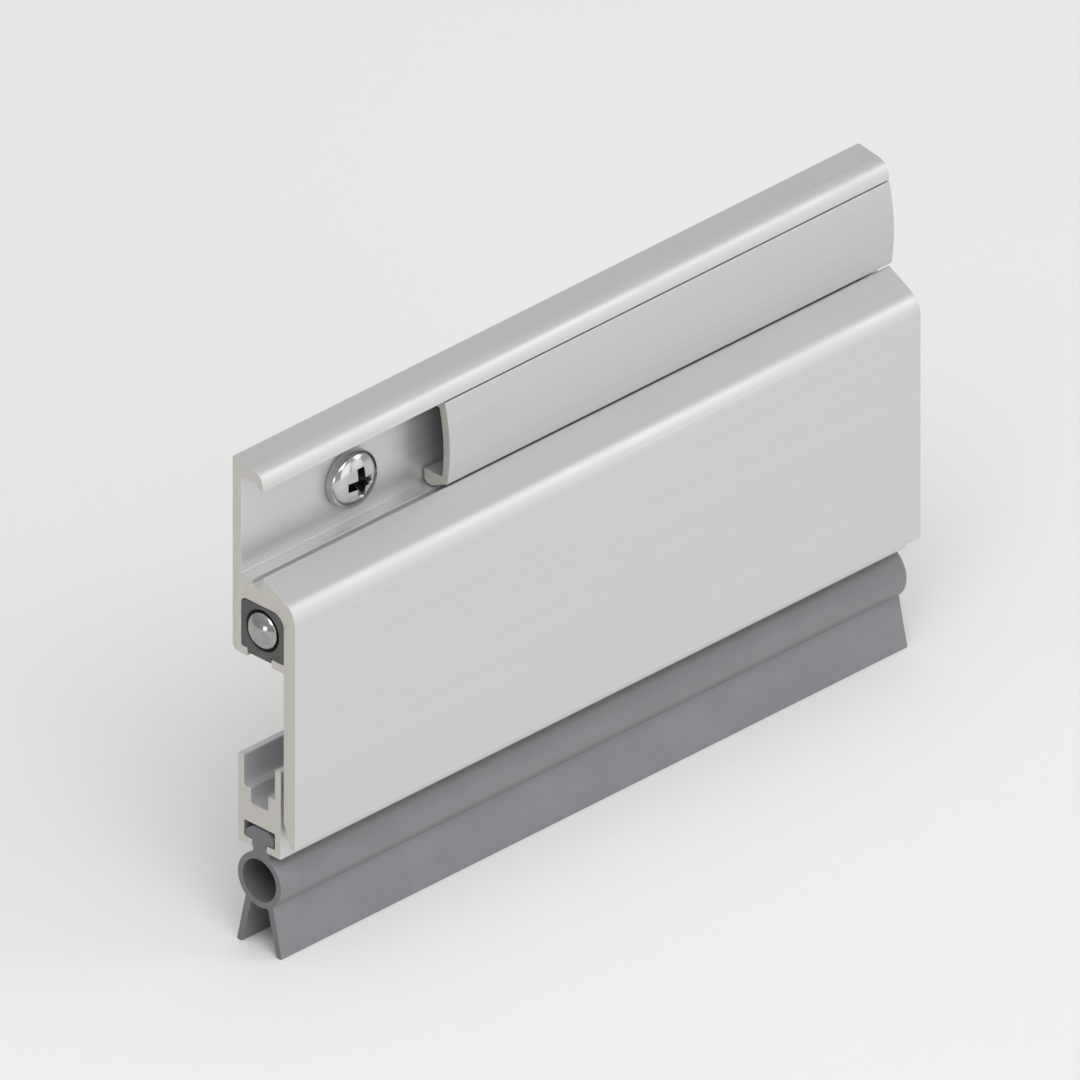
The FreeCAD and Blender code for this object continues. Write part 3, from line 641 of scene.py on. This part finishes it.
def threaded(name, start, tip):
    """A shank along y from start to a pointed tip, with a right-hand thread as a real helical ridge."""
    shape = bmesh.new()
    steps = THREAD_STEPS
    rings = []
    for level in range(int((tip - start) / THREAD_PITCH * steps)):
        along = start + THREAD_PITCH * level / steps
        limit = THREAD_RADIUS * min(1.0, (tip - along) / POINT_LENGTH + POINT_BLUNTNESS)
        core = limit * THREAD_ROOT / THREAD_RADIUS
        fade = min(1.0, (along - start) / THREAD_PITCH)
        ring = []
        for step in range(steps):
            phase = (level + step) / steps % 1
            height = max(0.0, 1 - abs(phase - 0.5) / RIDGE_HALF)
            radius = core + (limit - core) * height * fade
            ring.append(shape.verts.new(ring_point(radius, along, step, steps)))
        rings.append(ring)
    point = shape.verts.new((0, tip, 0))
    shape.faces.new(rings[0])
    for step in range(steps):
        following = (step + 1) % steps
        for one, two in zip(rings, rings[1:]):
            # Each cell is split along the helix, so that the crest stays sharp
            shape.faces.new((one[step], one[following], two[step]))
            shape.faces.new((two[step], one[following], two[following]))
        shape.faces.new((rings[-1][step], rings[-1][following], point))
    return make_closed(name, shape)


def dress(made, material, slot, body, *nodes):
    """Give a new piece its finish and its body, and let it stand for its nodes."""
    made.data.materials.clear()
    made.data.materials.append(material)
    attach(made, body)
    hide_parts(*nodes)


# Extruded pieces, and the two screw holes in the housing

ALUMINIUM_CORNER = 0.15 * MM
ALUMINIUM_DEBURR = 0.1 * MM
RUBBER_CORNER = 0.22 * MM
RUBBER_DEBURR = 0.06 * MM
HEAD_SEAT = -1.4 * MM  # front face of the housing's back wall
HOLE_RADIUS = 2.25 * MM
HOLE_CHAMFER = 0.2 * MM
HOLE_STEPS = 48
BULB_Y = -4.3 * MM
BULB_RISE = 9.0 * MM  # centre of the bulb above the tips of the lips
BORE_RADIUS = 2.65 * MM
BORE_SHADE_FADE = 1.18  # multiple of the bore's radius within which its painted shade fades out

aluminium = anodised_aluminium("anodised_aluminium_satin", ANODISED)
cover_aluminium = anodised_aluminium("anodised_aluminium_cover", ANODISED_COVER)
bulb_middle = Vector((0, BULB_Y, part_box("seal_gasket")[0].z + BULB_RISE))
# The rubber's bore is painted darker, as shade
rubber = grey_rubber("grey_rubber_extruded", bulb_middle, BORE_RADIUS * BORE_SHADE_FADE)

screw_low, screw_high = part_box("mounting_screws")
head_radius = screw_high.z
screw_places = [Vector((side * (screw_high.x - head_radius), 0, 0)) for side in (-1, 1)]
hole_profile = [
    (0, HOLE_CHAMFER),
    (HOLE_RADIUS + 2 * HOLE_CHAMFER, HOLE_CHAMFER),
    (HOLE_RADIUS, -HOLE_CHAMFER),
    (HOLE_RADIUS, HEAD_SEAT + HOLE_CHAMFER),
    (HOLE_RADIUS + 2 * HOLE_CHAMFER, HEAD_SEAT - HOLE_CHAMFER),
    (0, HEAD_SEAT - HOLE_CHAMFER),
]

housing = extruded("housing_profile", "housing", ALUMINIUM_CORNER, ALUMINIUM_DEBURR)
hole = turned("screw_hole", hole_profile, HOLE_STEPS)
combine(housing, joined("screw_holes", [(hole, place) for place in screw_places]), "DIFFERENCE")
smooth(housing, PROFILE_CREASE)
dress(housing, aluminium, "anodised_aluminium", "housing", "housing")

cover = extruded("cover_profile", "cover_strip", ALUMINIUM_CORNER, ALUMINIUM_DEBURR)
smooth(cover, PROFILE_CREASE)
dress(cover, cover_aluminium, "anodised_aluminium", "housing", "cover_strip")

bar = extruded("bar_profile", "drop_bar", ALUMINIUM_CORNER, ALUMINIUM_DEBURR)
smooth(bar, PROFILE_CREASE)
dress(bar, aluminium, "anodised_aluminium", "drop_bar", "drop_bar")

gasket = extruded("gasket_profile", "seal_gasket", RUBBER_CORNER, RUBBER_DEBURR)
smooth(gasket, PROFILE_CREASE)
dress(gasket, rubber, "grey_rubber", "drop_bar", "seal_gasket")

# Small pieces

dark_plastic = moulded_plastic("dark_plastic_moulded", DARK_PLASTIC, DARK_PLASTIC_ROUGHNESS)
pale_plastic = moulded_plastic("pale_plastic_moulded", PALE_PLASTIC, PALE_PLASTIC_ROUGHNESS)
zinc = plain_steel("plain_steel_zinc", ZINC, ZINC_MARKS)

# Node, width of the broken edge in millimetres, material, slot and body of each
SMALL_PIECES = [
    ("plunger_guide", 0.15, dark_plastic, "dark_plastic", "housing"),
    ("plunger_rod", 0.1, zinc, "plain_steel", "plunger"),
    ("rod_pin", 0.1, zinc, "plain_steel", "plunger"),
    ("spring_slider", 0.15, pale_plastic, "pale_plastic", "plunger"),
    ("slider_rivet", 0.06, zinc, "plain_steel", "plunger"),
    ("spring_shoe", 0.12, pale_plastic, "pale_plastic", "drop_bar"),
    ("shoe_screw", 0.06, zinc, "plain_steel", "drop_bar"),
    ("spring_anchor", 0.15, pale_plastic, "pale_plastic", "housing"),
    ("anchor_rivet", 0.06, zinc, "plain_steel", "housing"),
    ("anchor_grub_screw", 0.06, zinc, "plain_steel", "housing"),
]
for node, width, material, slot, body in SMALL_PIECES:
    dress(softened(node + "_finished", node, width * MM), material, slot, body, node)

# Mounting screws: rounded head with a tapered cross recess, plain neck and a threaded shank

NECK_RADIUS = 1.6 * MM
NECK_END = -0.4 * MM
SHANK_SEAT = 0.2 * MM  # length of the shank inside the neck
RIM_DEPTH = 0.9 * MM
RIM_EDGE = 0.15 * MM
HEAD_STEPS = 72
DOME_STEPS = 14
THREAD_RADIUS = 2.0 * MM
THREAD_ROOT = 1.4 * MM
THREAD_PITCH = 1.5 * MM
THREAD_STEPS = 32
RIDGE_HALF = 0.3  # half the width of the ridge's foot, as a share of the pitch
POINT_LENGTH = 3.4 * MM
POINT_BLUNTNESS = 0.04  # share of the radius that is left at the tip
# Depth below the crown, reach of an arm and half of its width, at the recess's mouth and at its bottom
RECESS_MOUTH = (-0.2 * MM, 2.3 * MM, 0.62 * MM)
RECESS_BOTTOM = (1.75 * MM, 0.8 * MM, 0.3 * MM)
RECESS_SHADE_SHARE = 0.955  # inside this share of the dome lies the recess, which is painted dark as shade

crown = screw_low.y
rim = HEAD_SEAT - RIM_DEPTH
recess_middle = Vector((0, rim, 0))
recess_reach = Vector((head_radius, rim - crown, head_radius)) * RECESS_SHADE_SHARE
# The screws' recesses get painted shade
hollows = [(place + recess_middle, recess_reach) for place in screw_places]
nickel = bright_steel("bright_steel_nickel", NICKEL, hollows)

head_profile = [
    (0, NECK_END),
    (NECK_RADIUS, NECK_END),
    (NECK_RADIUS, HEAD_SEAT),
    (head_radius - RIM_EDGE, HEAD_SEAT),
    (head_radius, HEAD_SEAT - RIM_EDGE),
]
for step in range(DOME_STEPS):
    turn = math.radians(90) * step / DOME_STEPS
    head_profile.append((head_radius * math.cos(turn), rim + (crown - rim) * math.sin(turn)))
head_profile.append((0, crown))

head = turned("screw_head", head_profile, HEAD_STEPS)
recess_ends = [(crown + depth, reach, half) for depth, reach, half in (RECESS_MOUTH, RECESS_BOTTOM)]
combine(head, tapered_cross("screw_recess", recess_ends), "DIFFERENCE")
combine(head, threaded("screw_shank", NECK_END - SHANK_SEAT, screw_high.y), "UNION")
screws = joined("mounting_screws_finished", [(head, place) for place in screw_places])
smooth(screws, SCREW_CREASE)
dress(screws, nickel, "bright_steel", "housing", "mounting_screws")

# Plunger button: domed end, rounded rim, two flats and a bore for the rod

BUTTON_DOME = 1.1 * MM
BUTTON_EDGE = 0.1 * MM
BUTTON_BORE = 1.55 * MM
BUTTON_GRIP = 8.05 * MM  # depth of the bore
BUTTON_STEPS = 64
FLAT_START = 3.0 * MM
FLAT_LENGTH = 3.0 * MM
FLAT_HALF = 1.8 * MM  # from the axis to a flat

polished = bright_steel("bright_steel_polished", POLISHED)
button_low, button_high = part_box("plunger_button")
button_radius = (button_high.z - button_low.z) / 2
button_rim = button_low.x + BUTTON_DOME
dome_radius = (button_radius**2 + BUTTON_DOME**2) / (2 * BUTTON_DOME)
dome_angle = math.asin((button_radius - BUTTON_EDGE) / dome_radius)
button_profile = [
    (0, button_high.x - BUTTON_GRIP),
    (BUTTON_BORE, button_high.x - BUTTON_GRIP),
    (BUTTON_BORE, button_high.x),
    (button_radius - BUTTON_EDGE, button_high.x),
    (button_radius, button_high.x - BUTTON_EDGE),
    (button_radius, button_rim + BUTTON_EDGE),
    (button_radius - BUTTON_EDGE / 3, button_rim),
]
for step in range(DOME_STEPS):
    turn = dome_angle * (1 - step / DOME_STEPS)
    button_profile.append((dome_radius * math.sin(turn), button_low.x + dome_radius * (1 - math.cos(turn))))
button_profile.append((0, button_low.x))

button = turned("plunger_button_finished", button_profile, BUTTON_STEPS)
button_axis = Vector((0, (button_low.y + button_high.y) / 2, (button_low.z + button_high.z) / 2))
button.data.transform(Matrix.Translation(button_axis) @ Matrix.Rotation(math.radians(-90), 4, "Z"))
flat_x = button_rim + FLAT_START
for side in (-1, 1):
    near, far = sorted((side * FLAT_HALF, side * 2 * button_radius))
    flat_low = button_axis + Vector((flat_x, -2 * button_radius, near))
    flat_high = button_axis + Vector((flat_x + FLAT_LENGTH, 2 * button_radius, far))
    combine(button, block("button_flat", flat_low, flat_high), "DIFFERENCE")
smooth(button, BUTTON_CREASE)
dress(button, polished, "bright_steel", "button", "plunger_button")

# Leaf spring, with a mesh of its own

LEAF_EDGE = 0.08 * MM

spring_steel = plain_steel("spring_steel_rolled", ROLLED_STEEL, ROLLING_MARKS)
leaf = softened("leaf_spring_finished", "leaf_spring", LEAF_EDGE)
dress(leaf, spring_steel, "spring_steel", "housing", "leaf_spring")
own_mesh(leaf)

# Scene

add_camera()
add_sky()
add_floor()
for lamp in LAMPS:
    add_lamp(*lamp)
bpy.context.scene.view_settings.view_transform = "Standard"
